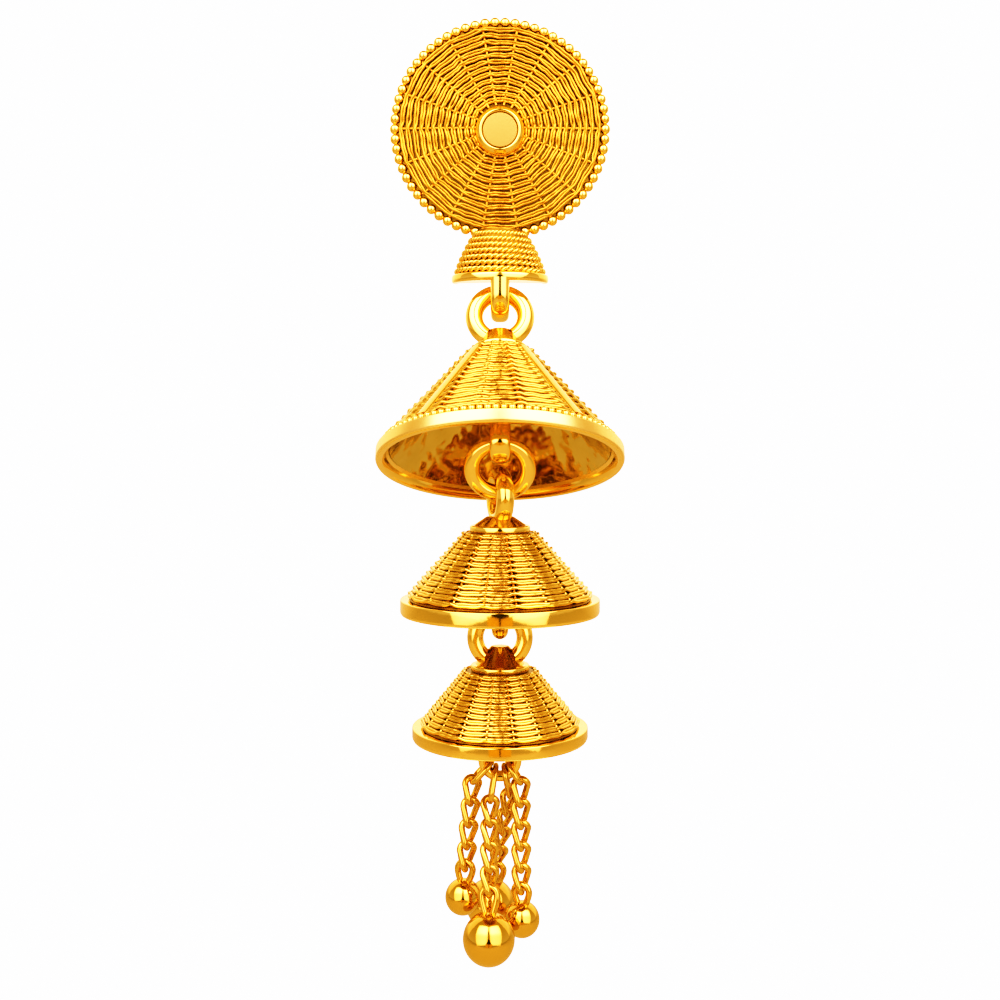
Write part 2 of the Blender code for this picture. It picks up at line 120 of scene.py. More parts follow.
# soft shoulder for the white highlights, and a deep foot, so that gold seen in gold turns to amber
tone = {
    "white": 2.5,
    "points": [(0.10, 0.016), (0.23, 0.058), (0.50, 0.20), (0.80, 0.38), (1.00, 0.51), (1.30, 0.70),
               (1.60, 0.85), (2.00, 0.94)],
    "bluePoints": [(0.012, 0.003), (0.037, 0.013), (0.11, 0.075), (0.42, 0.48)],
}
paperGlow = tone["white"] * 0.97

# one tall panel to each side, bright along its middle and fading to the colour of the room
lights = [
    {"name": "left_panel", "azimuth": -39, "lean": 6},
    {"name": "right_panel", "azimuth": 39, "lean": -6},
]
panel = {
    "elevation": 30, "width": 183 * mm, "height": 300 * mm, "distance": 165 * mm, "peak": 5.2,
    "aim": Vector((0, -5 * mm, -24 * mm)),
    # the glow from the outer to the inner edge, and from the foot to the top
    "inward": [(0, 0.20), (0.18, 0.70), (0.45, 0.92), (0.75, 1.0), (0.92, 0.75), (1, 0.30)],
    "upward": [(0, 0), (0.10, 0.28), (0.40, 0.40), (0.66, 1.0), (0.85, 0.90), (1, 0)],
}
room = {"color": (1.0, 0.80, 0.56), "strength": 1.5, "zenith": (1.25, 0.82, 0.24), "zenithFrom": 0.8}
roomGlow = (*[v * room["strength"] for v in room["color"]], 1)

# dark card between the panels as (height, half width), the thin rod that it stands on, and an amber board
darkCard = {
    "distance": 172 * mm, "foot": -84 * mm, "rodHalf": 1.6 * mm,
    "halves": [(-42, 2), (-37, 30), (0, 16), (24, 6), (40, 2.5), (95, 2.5), (122, 8), (175, 8)],
    "light": (0.022, 0.016, 0.010), "deep": (0.012, 0.009, 0.006),
}
amberBoard = {"behind": 3 * mm, "half": 42 * mm, "top": -38 * mm,
              "light": (0.80, 0.52, 0.10), "deep": (0.70, 0.44, 0.07)}

backdrop = {
    "floor": -86 * mm, "back": 190 * mm, "bend": 90 * mm, "bendParts": 24, "height": 420 * mm,
    "half": 700 * mm, "front": -600 * mm, "floorGlow": 0.50, "wallGlow": 1.70,
    "floorTint": (0.40, 0.35, 0.28, 1), "wallTint": (0.62, 0.61, 0.60, 1),
    "paper": (1.0, 1.0, 1.0, 1), "fleck": (0.985, 0.985, 0.98, 1), "fleckScale": 60,
}


def buildCamera():
    data = bpy.data.cameras.new("camera")
    data.lens = camera["lens"]
    data.shift_y = camera["shift"]
    data.clip_start = 0.001
    item = addObject("camera", data)
    item.location = camera["place"]
    item.rotation_euler = (math.radians(90 - camera["lookDown"]), 0, 0)
    bpy.context.scene.camera = item


def glowCurve(tree, value, points):
    node = tree.nodes.new("ShaderNodeFloatCurve")
    curve = node.mapping.curves[0]
    curve.points[0].location = points[0]
    curve.points[1].location = points[-1]
    for spot in points[1:-1]:
        curve.points.new(*spot)
    node.mapping.update()
    put(tree, value, node.inputs["Value"])
    return node.outputs["Value"]


def buildLight(plan):
    azimuth = math.radians(plan["azimuth"])
    elevation = math.radians(panel["elevation"])
    level = math.cos(elevation)
    towards = Vector((math.sin(azimuth) * level, -math.cos(azimuth) * level, math.sin(elevation)))
    data = bpy.data.lights.new(plan["name"], "AREA")
    data.shape = "RECTANGLE"
    data.size = panel["width"]
    data.size_y = panel["height"]
    data.energy = math.pi * data.size * data.size_y     # the panel is then as bright as its colour
    data.use_nodes = True
    tree = data.node_tree
    inward = panel["inward"]
    if plan["azimuth"] > 0:
        inward = [(1 - share, glow) for share, glow in reversed(inward)]
    spot = addNode(tree, "ShaderNodeNewGeometry", "Parametric")
    across = glowCurve(tree, addNode(tree, "ShaderNodeSeparateXYZ", "X", Vector=spot), inward)
    upward = glowCurve(tree, addNode(tree, "ShaderNodeSeparateXYZ", "Y", Vector=spot), panel["upward"])
    glow = blend(tree, calc(tree, "MULTIPLY", across, upward), roomGlow, (*[panel["peak"]] * 3, 1))
    put(tree, glow, tree.nodes["Emission"].inputs["Color"])
    item = addObject(plan["name"], data)
    item.location = panel["aim"] + towards * panel["distance"]
    # turned so that the inner edge runs along the gap, a little nearer to it at the top
    side = (axisX - towards * towards.x).normalized()
    side = Matrix.Rotation(-math.radians(plan["lean"]), 3, towards) @ side
    item.rotation_euler = Matrix((side, towards.cross(side), towards)).transposed().to_euler()
    item.visible_camera = False


# a sheet of the studio through rows of (half width, y, z)
def stageSheet(name, rows, material, seen):
    corners = [(side * half, y, z) for half, y, z in rows for side in (-1, 1)]
    mesh = bpy.data.meshes.new(name)
    mesh.from_pydata(corners, [], [(at, at + 1, at + 3, at + 2) for at in range(0, len(corners) - 2, 2)])
    mesh.shade_smooth()
    mesh.materials.append(material)
    item = addObject(name, mesh)
    item.visible_camera = seen


def cardMaterial(name, card):
    material, tree = newMaterial(name)
    shader = tree.nodes["Principled BSDF"]
    color = blend(tree, objectNoise(tree), (*card["light"], 1), (*card["deep"], 1))
    put(tree, color, shader.inputs["Base Color"])
    shader.inputs["Roughness"].default_value = 0.9
    return material


# stand between the panels and keep a dark line in the polished curves
def buildCards():
    y = panel["aim"].y - darkCard["distance"]
    rows = [(darkCard["rodHalf"], y, darkCard["foot"])]
    rows += [(half * mm, y, height * mm) for height, half in darkCard["halves"]]
    stageSheet("dark_card", rows, cardMaterial("dark_card", darkCard), False)
    y -= amberBoard["behind"]
    rows = [(amberBoard["half"], y, height) for height in (darkCard["foot"], amberBoard["top"])]
    stageSheet("amber_board", rows, cardMaterial("amber_board", amberBoard), False)


def buildWorld():
    world = bpy.data.worlds.new("studio")
    bpy.context.scene.world = world
    world.use_nodes = True
    tree = world.node_tree
    place = addNode(tree, "ShaderNodeTexCoord", "Generated")
    rise = addNode(tree, "ShaderNodeSeparateXYZ", "Z", Vector=place)
    rise = addNode(tree, "ShaderNodeMapRange", "Result", Value=rise, From_Max=room["zenithFrom"])
    sky = blend(tree, rise, roomGlow, (*room["zenith"], 1))
    # the camera itself sees plain paper where the sweep ends
    byCamera = addNode(tree, "ShaderNodeLightPath", "Is Camera Ray")
    seen = blend(tree, byCamera, sky, (*[paperGlow] * 3, 1))
    put(tree, seen, tree.nodes["Background"].inputs["Color"])


# white paper for the camera, warm light for the gold
def paperMaterial():
    material, tree = newMaterial("backdrop_paper")
    tree.nodes.clear()
    floor = backdrop["floor"]
    place = addNode(tree, "ShaderNodeTexCoord", "Object")
    height = addNode(tree, "ShaderNodeSeparateXYZ", "Z", Vector=place)
    height = addNode(tree, "ShaderNodeMapRange", "Result", Value=height, From_Min=floor,
                     From_Max=floor + backdrop["bend"])
    strength = addNode(tree, "ShaderNodeMapRange", "Result", Value=height, To_Min=backdrop["floorGlow"],
                       To_Max=backdrop["wallGlow"])
    tint = blend(tree, height, backdrop["floorTint"], backdrop["wallTint"])
    noise = objectNoise(tree, Scale=backdrop["fleckScale"])
    white = blend(tree, noise, backdrop["paper"], backdrop["fleck"])
    both = tree.nodes.new("ShaderNodeAddShader")
    put(tree, addNode(tree, "ShaderNodeBsdfDiffuse", 0, Color=tint), both.inputs[0])
    fill = addNode(tree, "ShaderNodeEmission", 0, Color=(*room["color"], 1), Strength=strength)
    put(tree, fill, both.inputs[1])
    mixer = tree.nodes.new("ShaderNodeMixShader")
    put(tree, addNode(tree, "ShaderNodeLightPath", "Is Camera Ray"), mixer.inputs["Fac"])
    put(tree, both.outputs[0], mixer.inputs[1])
    put(tree, addNode(tree, "ShaderNodeEmission", 0, Color=white, Strength=paperGlow), mixer.inputs[2])
    put(tree, mixer.outputs[0], tree.nodes.new("ShaderNodeOutputMaterial").inputs["Surface"])
    return material


# one sheet: floor, bend and wall
def buildBackdrop():
    half = backdrop["half"]
    bend = backdrop["bend"]
    rows = [(half, backdrop["front"], backdrop["floor"])]
    for part in range(backdrop["bendParts"] + 1):
        turn = math.pi / 2 * part / backdrop["bendParts"]
        rows.append((half, backdrop["back"] - bend * (1 - math.sin(turn)),
                     backdrop["floor"] + bend * (1 - math.cos(turn))))
    rows.append((half, backdrop["back"], backdrop["height"]))
    stageSheet("backdrop", rows, paperMaterial(), True)


def setTone():
    view = bpy.context.scene.view_settings
    view.view_transform = "Standard"
    view.use_curve_mapping = True
    view.curve_mapping.white_level = (tone["white"],) * 3
    for light, shown in tone["points"]:
        view.curve_mapping.curves[3].points.new(light / tone["white"], shown)
    for light, shown in tone["bluePoints"]:
        view.curve_mapping.curves[2].points.new(light, shown)
    view.curve_mapping.update()


buildCamera()
for plan in lights:
    buildLight(plan)
buildCards()
buildWorld()
buildBackdrop()
setTone()
print("camera, lights and backdrop ready")


# gold

goldTones = {
    "disc": {"color": (0.88, 0.53, 0.15), "deep": (0.72, 0.38, 0.08), "roughness": 0.12,
             "vary": 0.30, "patch": 900, "grain": 500, "bump": 0.10},
    "polished": {"color": (0.98, 0.70, 0.28), "deep": (0.96, 0.67, 0.25), "roughness": 0.06,
                 "vary": 0.04, "patch": 260, "grain": 5200, "bump": 0.006},
    "woven": {"color": (0.95, 0.67, 0.26), "deep": (0.87, 0.57, 0.18), "roughness": 0.10,
              "vary": 0.08, "patch": 420, "grain": 5200, "bump": 0.02},
    # a dark gold whose colour is painted shade, for the gaps between wires, ropes and beads
    "ground": {"color": (0.44, 0.26, 0.07), "deep": (0.28, 0.15, 0.03), "roughness": 0.30,
               "vary": 0.10, "patch": 900, "grain": 5200, "bump": 0.03},
    "chain": {"color": (0.82, 0.54, 0.18), "deep": (0.78, 0.50, 0.16), "roughness": 0.06,
              "vary": 0.04, "patch": 260, "grain": 5200, "bump": 0.006},
    "satin": {"color": (0.98, 0.73, 0.36), "deep": (0.96, 0.70, 0.33), "roughness": 0.26,
              "vary": 0.06, "patch": 200, "grain": 9000, "bump": 0.01},
    "brushed": {"color": (0.70, 0.47, 0.20), "deep": (0.66, 0.44, 0.18), "roughness": 0.45,
                "vary": 0.06, "patch": 400, "grain": 9000, "bump": 0.01},
    "cast": {"color": (0.76, 0.56, 0.25), "deep": (0.62, 0.42, 0.15), "roughness": 0.09,
             "vary": 0.06, "patch": 500, "grain": 420, "bump": 1.0},
    "cap": {"color": (0.90, 0.60, 0.20), "deep": (0.78, 0.48, 0.13), "roughness": 0.11,
            "vary": 0.08, "patch": 700, "grain": 2400, "bump": 0.03},
}
goldInputs = {"Color": "color", "Deep Color": "deep", "Patch Scale": "patch", "Grain Scale": "grain",
              "Roughness": "roughness", "Vary": "vary", "Bump": "bump"}


# colour, roughness and fine unevenness shared by every gold
def goldGroup():
    inputs = [(label, "Color" if "Color" in label else "Float") for label in goldInputs]
    outputs = [("Color", "Color"), ("Roughness", "Float"), ("Normal", "Vector")]
    tree, use = newTree("goldSurface", inputs, outputs, "Shader")
    patch = objectNoise(tree, Scale=use["Patch Scale"], Detail=3)
    grain = objectNoise(tree, Scale=use["Grain Scale"], Detail=2)
    bump = addNode(tree, "ShaderNodeBump", "Normal", Height=grain, Strength=use["Bump"], Distance=0.30 * mm)
    leave = tree.nodes.new("NodeGroupOutput").inputs
    put(tree, blend(tree, patch, use["Color"], use["Deep Color"]), leave["Color"])
    put(tree, calc(tree, "MULTIPLY_ADD", grain, use["Vary"], use["Roughness"]), leave["Roughness"])
    put(tree, bump, leave["Normal"])
    return tree


def goldMaterial(name, gold, group):
    material, tree = newMaterial(name + "_gold")
    shader = tree.nodes["Principled BSDF"]
    shader.inputs["Metallic"].default_value = 1.0
    surface = tree.nodes.new("ShaderNodeGroup")
    surface.node_tree = group
    for label, key in goldInputs.items():
        surface.inputs[label].default_value = (*gold[key], 1) if "Color" in label else gold[key]
    for output, label in (("Color", "Base Color"), ("Roughness", "Roughness"), ("Normal", "Normal")):
        put(tree, surface.outputs[output], shader.inputs[label])
    return material


surfaceGroup = goldGroup()
golds = {name: goldMaterial(name, gold, surfaceGroup) for name, gold in goldTones.items()}
print("gold materials ready")


# plain shapes

# puts a finished mesh in the scene, on its body and in place of its CAD nodes
def keep(name, mesh, body, nodes, gold=None):
    item = addObject(name, mesh)
    if gold:
        mesh.materials.clear()
        mesh.materials.append(golds[gold])
    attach(item, body)
    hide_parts(*nodes)
    pieceNames.append(name)


def keepStud(name, mesh, gold=None):
    keep(name, mesh, "stud", ["stud"], gold)


def meshFrom(name, shape, sharp=42):
    bmesh.ops.remove_doubles(shape, verts=shape.verts, dist=1e-7)
    bmesh.ops.recalc_face_normals(shape, faces=shape.faces)
    mesh = bpy.data.meshes.new(name)
    shape.to_mesh(mesh)
    shape.free()
    mesh.shade_smooth()
    mesh.set_sharp_from_angle(angle=math.radians(sharp))
    return mesh


# corners of (radius, depth, rounding) in millimetres, each rounding turned into a short arc
def rounded(corners, steps=5):
    points = []
    for index, (radius, depth, size) in enumerate(corners):
        here = Vector((radius, depth))
        if size == 0:
            points.append(here * mm)
            continue
        before = Vector(corners[index - 1][:2])
        after = Vector(corners[(index + 1) % len(corners)][:2])
        first = here + (before - here).normalized() * min(size, (before - here).length * 0.49)
        last = here + (after - here).normalized() * min(size, (after - here).length * 0.49)
        for part in range(steps + 1):
            t = part / steps
            points.append((first * (1 - t) ** 2 + here * (2 * t * (1 - t)) + last * t ** 2) * mm)
    return points


# turns a closed outline about the vertical
def lathe(name, corners, sides, place, sharp=42, steps=5):
    shape = bmesh.new()
    rings = []
    for radius, depth in rounded(corners, steps):
        if radius < 1e-7:
            rings.append([shape.verts.new((0, 0, -depth))] * sides)
            continue
        turns = [2 * math.pi * side / sides for side in range(sides)]
        rings.append([shape.verts.new((radius * math.cos(a), radius * math.sin(a), -depth)) for a in turns])
    for near, far in zip(rings, rings[1:] + rings[:1]):
        for side in range(sides):
            other = (side + 1) % sides
            corner = []
            for vert in (near[side], near[other], far[other], far[side]):
                if vert not in corner:
                    corner.append(vert)
            if len(corner) > 2:
                shape.faces.new(corner)
    shape.transform(place)
    return meshFrom(name, shape, sharp)


# sweeps an oval section along points, with flatter sides where square is below 1
def wire(name, points, normals, width, thickness, place, closed=True, sides=20, square=1.0):
    shape = bmesh.new()
    count = len(points)
    sections = []
    for index, point in enumerate(points):
        after = points[(index + 1) % count] if closed or index < count - 1 else point
        before = points[index - 1] if closed or index > 0 else point
        tangent = (after - before).normalized()
        across = tangent.cross(normals[index]).normalized()
        along = across.cross(tangent).normalized()
        section = []
        for side in range(sides):
            angle = 2 * math.pi * side / sides
            wide = math.copysign(abs(math.cos(angle)) ** square, math.cos(angle)) * width / 2
            high = math.copysign(abs(math.sin(angle)) ** square, math.sin(angle)) * thickness / 2
            section.append(shape.verts.new(point + along * wide + across * high))
        sections.append(section)
    following = sections[1:] + sections[:1] if closed else sections[1:]
    for near, far in zip(sections, following):
        for side in range(sides):
            other = (side + 1) % sides
            shape.faces.new((near[side], near[other], far[other], far[side]))
    if not closed:
        shape.faces.new(sections[0])
        shape.faces.new(sections[-1])
    shape.transform(place)
    return meshFrom(name, shape, 60)


ringParts = 72


def ringWire(name, centre, across, along, radius, thickness, place):
    turns = [2 * math.pi * part / ringParts for part in range(ringParts)]
    points = [centre + across * (radius * math.cos(a)) + along * (radius * math.sin(a)) for a in turns]
    return wire(name, points, [across.cross(along)] * ringParts, thickness, thickness, place)


# long loop: half a circle at the bottom and two legs that run up into the metal
def bailWire(name, centre, across, radius, leg, width, thickness, place, square=1.0):
    shares = [part / 6 for part in range(1, 7)]
    turns = [math.pi * part / 32 for part in range(33)]
    points = [centre + across * radius - down * (leg * share) for share in reversed(shares)]
    points += [centre + across * (radius * math.cos(a)) + down * (radius * math.sin(a)) for a in turns]
    points += [centre - across * radius - down * (leg * share) for share in shares]
    return wire(name, points, [across.cross(down)] * len(points), width, thickness, place,
                closed=False, sides=24, square=square)


# cuts away everything behind backY and closes the cut
def cutFlat(mesh, backY):
    shape = bmesh.new()
    shape.from_mesh(mesh)
    parts = shape.verts[:] + shape.edges[:] + shape.faces[:]
    bmesh.ops.bisect_plane(shape, geom=parts, dist=1e-8, plane_co=(0, backY, 0), plane_no=(0, 1, 0),
                           clear_outer=True)
    rim = [edge for edge in shape.edges if edge.is_boundary]
    bmesh.ops.holes_fill(shape, edges=rim, sides=0)
    bmesh.ops.triangulate(shape, faces=[face for face in shape.faces if len(face.verts) > 4])
    shape.to_mesh(mesh)
    shape.free()
    mesh.shade_smooth()
    mesh.set_sharp_from_angle(angle=math.radians(50))
    return mesh


# trees for what repeats

# gives curves a round wire
def wired(tree, curves, radius, capped):
    section = addNode(tree, "GeometryNodeCurvePrimitiveCircle", "Curve", Resolution=8, Radius=radius)
    body = addNode(tree, "GeometryNodeCurveToMesh", "Mesh", Curve=curves, Profile_Curve=section,
                   Fill_Caps=capped)
    return addNode(tree, "GeometryNodeSetShadeSmooth", "Geometry", Geometry=body)


def finishTree(tree, geometry, material):
    whole = addNode(tree, "GeometryNodeRealizeInstances", "Geometry", Geometry=geometry)
    dressed = addNode(tree, "GeometryNodeSetMaterial", "Geometry", Geometry=whole, Material=material)
    tree.links.new(dressed, tree.nodes.new("NodeGroupOutput").inputs["Geometry"])
    return tree


# rows of strands wound round one another, on a cone or a disc, crossing at each stake
def woundRowsTree():
    tree, use = newTree("woundRows", [
        ("Rows", "Int"), ("Stakes", "Int"), ("Steps", "Int"), ("Strands", "Int"),
        ("Top Radius", "Float"), ("Foot Radius", "Float"), ("Top Depth", "Float"), ("Foot Depth", "Float"),
        ("Bulge", "Float"), ("Dome", "Float"), ("Wire Radius", "Float"), ("Lift", "Float"), ("Bump", "Float"),
        ("Twisted", "Float"), ("Pinch", "Float"), ("Spread", "Float"), ("Sharpness", "Float"),
        ("Straight", "Float"), ("Arch", "Float"), ("Looseness", "Float"), ("Seed", "Float"),
        ("Material", "Material")])

    def work(operation, *values):
        return calc(tree, operation, *values)

    count = work("MULTIPLY", use["Stakes"], use["Steps"])
    lines = work("MULTIPLY", use["Rows"], use["Strands"])
    line = addNode(tree, "GeometryNodeMeshLine", "Mesh", Count=lines, Offset=(0, 0, 0))
    circle = addNode(tree, "GeometryNodeCurvePrimitiveCircle", "Curve", Resolution=count, Radius=1.0)
    copies = addNode(tree, "GeometryNodeInstanceOnPoints", "Instances", Points=line, Instance=circle)
    curves = addNode(tree, "GeometryNodeRealizeInstances", "Geometry", Geometry=copies)
    index = tree.nodes.new("GeometryNodeInputIndex").outputs[0]
    lineAt = work("FLOOR", work("DIVIDE", index, count))
    within = work("SUBTRACT", index, work("MULTIPLY", lineAt, count))
    angle = work("MULTIPLY", work("DIVIDE", within, count), 2 * math.pi)
    rowAt = work("FLOOR", work("DIVIDE", lineAt, use["Strands"]))
    strand = work("SUBTRACT", lineAt, work("MULTIPLY", rowAt, use["Strands"]))
    share = work("DIVIDE", rowAt, work("SUBTRACT", use["Rows"], 1))
    reachR = work("SUBTRACT", use["Foot Radius"], use["Top Radius"])
    reachD = work("SUBTRACT", use["Foot Depth"], use["Top Depth"])
    length = work("SQRT", work("MULTIPLY_ADD", reachR, reachR, work("MULTIPLY", reachD, reachD)))
    slopeR = work("DIVIDE", reachR, length)
    slopeD = work("DIVIDE", reachD, length)
    # twisted strands turn about their row, plain ones run side by side and close up at each stake
    turn = work("MULTIPLY", angle, work("MULTIPLY", use["Stakes"], 0.5))
    phase = work("MULTIPLY_ADD", strand, math.pi, turn)
    side = work("MULTIPLY_ADD", strand, -2.0, 1.0)
    near = work("POWER", work("ABSOLUTE", work("COSINE", turn)), use["Sharpness"])
    close = work("SUBTRACT", 1.0, work("MULTIPLY", near, use["Pinch"]))
    plainSpread = work("MULTIPLY", work("MULTIPLY", side, close), use["Spread"])
    over = work("MULTIPLY", work("MULTIPLY", work("COSINE", phase), near), use["Lift"])
    plainLift = work("MULTIPLY_ADD", near, use["Bump"], over)
    twistSpread = work("MULTIPLY", work("SINE", phase), use["Spread"])
    twistLift = work("MULTIPLY", work("COSINE", phase), use["Lift"])
    plain = work("SUBTRACT", 1.0, use["Twisted"])
    spread = work("MULTIPLY_ADD", twistSpread, use["Twisted"], work("MULTIPLY", plainSpread, plain))
    lift = work("MULTIPLY_ADD", twistLift, use["Twisted"], work("MULTIPLY", plainLift, plain))
    # straight bars between two stakes
    half = work("DIVIDE", math.pi, use["Stakes"])
    local = work("SUBTRACT", work("FLOORED_MODULO", angle, work("MULTIPLY", half, 2)), half)
    along = work("DIVIDE", local, half)
    arch = work("SUBTRACT", 1.0, work("MULTIPLY", along, along))
    lift = work("MULTIPLY_ADD", arch, use["Arch"], lift)
    chord = work("DIVIDE", work("COSINE", half), work("COSINE", local))
    chord = work("MULTIPLY_ADD", work("SUBTRACT", chord, 1), use["Straight"], 1.0)
    belly = work("MULTIPLY", work("MULTIPLY", share, work("SUBTRACT", 1, share)), 4)
    radius = work("ADD", work("MULTIPLY_ADD", reachR, share, use["Top Radius"]),
                  work("MULTIPLY", belly, use["Bulge"]))
    radius = work("MULTIPLY", radius, chord)
    rise = work("DIVIDE", radius, use["Foot Radius"])
    rise = work("MULTIPLY", work("SUBTRACT", 1, work("MULTIPLY", rise, rise)), use["Dome"])
    depth = work("SUBTRACT", work("MULTIPLY_ADD", reachD, share, use["Top Depth"]), rise)
    outR = work("ADD", work("MULTIPLY", slopeD, lift), work("MULTIPLY", slopeR, spread))
    outD = work("SUBTRACT", work("MULTIPLY", slopeD, spread), work("MULTIPLY", slopeR, lift))
    radius = work("ADD", radius, outR)
    depth = work("ADD", depth, outD)
    place = addNode(tree, "ShaderNodeCombineXYZ", 0,
                    X=work("MULTIPLY", radius, work("COSINE", angle)),
                    Y=work("MULTIPLY", radius, work("SINE", angle)),
                    Z=work("MULTIPLY", depth, -1))
    # loose wires: each point moves a little by noise
    noise = tree.nodes.new("ShaderNodeTexNoise")
    noise.noise_dimensions = "4D"
    noise.inputs["Scale"].default_value = 1000
    put(tree, place, noise.inputs["Vector"])
    put(tree, use["Seed"], noise.inputs["W"])
    centred = tree.nodes.new("ShaderNodeVectorMath")
    centred.operation = "SUBTRACT"
    put(tree, noise.outputs["Color"], centred.inputs[0])
    centred.inputs[1].default_value = (0.5, 0.5, 0.5)
    loose = tree.nodes.new("ShaderNodeVectorMath")
    loose.operation = "SCALE"
    put(tree, centred.outputs[0], loose.inputs[0])
    put(tree, use["Looseness"], loose.inputs["Scale"])
    moved = addNode(tree, "GeometryNodeSetPosition", "Geometry", Geometry=curves, Position=place,
                    Offset=loose.outputs[0])
    return finishTree(tree, wired(tree, moved, use["Wire Radius"], False), use["Material"])


# round beads in a ring, each a little different
def beadsTree():
    tree, use = newTree("beadRing", [("Count", "Int"), ("Radius", "Float"), ("Bead Radius", "Float"),
                                     ("Unevenness", "Float"), ("Seed", "Int"), ("Material", "Material")])
    circle = addNode(tree, "GeometryNodeCurvePrimitiveCircle", "Curve", Resolution=use["Count"],
                     Radius=use["Radius"])
    bead = addNode(tree, "GeometryNodeMeshUVSphere", "Mesh", Segments=18, Rings=12, Radius=use["Bead Radius"])
    bead = addNode(tree, "GeometryNodeSetShadeSmooth", "Geometry", Geometry=bead)
    low = calc(tree, "SUBTRACT", 1.0, use["Unevenness"])
    size = addNode(tree, "FunctionNodeRandomValue", 1, Min=low, Max=1.0, Seed=use["Seed"])
    ring = addNode(tree, "GeometryNodeInstanceOnPoints", "Instances", Points=circle, Instance=bead,
                   Scale=size)
    return finishTree(tree, ring, use["Material"])


# straight stakes down a cone or out across a disc
def stakesTree():
    tree, use = newTree("stakes", [("Stakes", "Int"), ("Top", "Vector"), ("Foot", "Vector"),
                                   ("Wire Radius", "Float"), ("Material", "Material")])
    rod = addNode(tree, "GeometryNodeCurvePrimitiveLine", "Curve", Start=use["Top"], End=use["Foot"])
    line = addNode(tree, "GeometryNodeMeshLine", "Mesh", Count=use["Stakes"], Offset=(0, 0, 0))
    index = tree.nodes.new("GeometryNodeInputIndex").outputs[0]
    turn = calc(tree, "MULTIPLY", calc(tree, "DIVIDE", index, use["Stakes"]), 2 * math.pi)
    spin = addNode(tree, "ShaderNodeCombineXYZ", 0, Z=turn)
    rods = addNode(tree, "GeometryNodeInstanceOnPoints", "Instances", Points=line, Instance=rod,
                   Rotation=spin)
    rods = addNode(tree, "GeometryNodeRealizeInstances", "Geometry", Geometry=rods)
    return finishTree(tree, wired(tree, rods, use["Wire Radius"], True), use["Material"])


# one link repeated down a chain, each turned from the one above
def linksTree():
    tree, use = newTree("chainLinks", [("Link", "Object"), ("Count", "Int"), ("Pitch", "Float"),
                                       ("Turn", "Float"), ("Material", "Material")])
    link = addNode(tree, "GeometryNodeObjectInfo", "Geometry", Object=use["Link"])
    drop = addNode(tree, "ShaderNodeCombineXYZ", 0, Z=calc(tree, "MULTIPLY", use["Pitch"], -1))
    line = addNode(tree, "GeometryNodeMeshLine", "Mesh", Count=use["Count"], Offset=drop)
    index = tree.nodes.new("GeometryNodeInputIndex").outputs[0]
    turn = calc(tree, "MULTIPLY", calc(tree, "MULTIPLY", index, use["Turn"]), -1)
    spin = addNode(tree, "ShaderNodeCombineXYZ", 0, Z=turn)
    links = addNode(tree, "GeometryNodeInstanceOnPoints", "Instances", Points=line, Instance=link,
                    Rotation=spin)
    return finishTree(tree, links, use["Material"])


trees = {"rows": woundRowsTree(), "beads": beadsTree(), "stakes": stakesTree(), "links": linksTree()}
print("trees ready:", ", ".join(trees))


# runs a tree once and gives back its plain mesh, moved to its place
def repeated(name, tree, settings, place):
    holder = addObject(name + "_source", bpy.data.meshes.new(name + "_source"))
    modifier = holder.modifiers.new("repeat", "NODES")
    modifier.node_group = tree
    for item in tree.interface.items_tree:
        if item.item_type == "SOCKET" and item.in_out == "INPUT":
            modifier[item.identifier] = settings[item.name]
    bpy.context.view_layer.update()
    evaluated = holder.evaluated_get(bpy.context.evaluated_depsgraph_get())
    mesh = bpy.data.meshes.new_from_object(evaluated)
    holder.modifiers.clear()
    bpy.data.objects.remove(holder)
    mesh.transform(place)
    return mesh


# stud: disc, weave, beads, boss, half bell and its loop

frontUp = Matrix.Rotation(math.radians(90), 4, "X")     # a shape's top turned to the front

disc = {
    "radius": 7.20, "thickness": 0.52, "dome": 0.30,
    "rows": {"Rows": 12, "Stakes": 18, "Steps": 16, "Strands": 2, "Top Radius": 1.92 * mm,
             "Foot Radius": 6.82 * mm, "Top Depth": -0.70 * mm, "Foot Depth": -0.70 * mm, "Bulge": 0.0,
             "Dome": 0.30 * mm, "Wire Radius": 0.094 * mm, "Lift": 0.05 * mm, "Bump": 0.04 * mm,
             "Twisted": 0.0, "Pinch": 0.55, "Spread": 0.090 * mm, "Sharpness": 14.0, "Straight": 0.9,
             "Arch": 0.07 * mm, "Looseness": 0.34 * mm, "Seed": 3.0},
    "spokes": {"topShare": 0.8, "pastFoot": 0.16 * mm, "topDepth": 0.98 * mm, "footDepth": 0.64 * mm,
               "wire": 0.11 * mm},
    "beads": {"Count": 66, "Radius": 7.27 * mm, "Bead Radius": 0.372 * mm, "Unevenness": 0.06, "Seed": 4},
    "beadDepth": -0.48 * mm,
    "boss": [(0, -1.50, 0), (1.20, -1.50, 0.02), (1.24, -1.72, 0.05), (1.38, -1.77, 0.10),
             (1.69, -1.46, 0.24), (1.69, -0.90, 0), (0, -0.90, 0)],
    "bossFace": [(0, -1.72, 0), (1.17, -1.72, 0.04), (1.17, -1.44, 0), (0, -1.44, 0)],
    "bossDrop": 0.28 * mm,
}


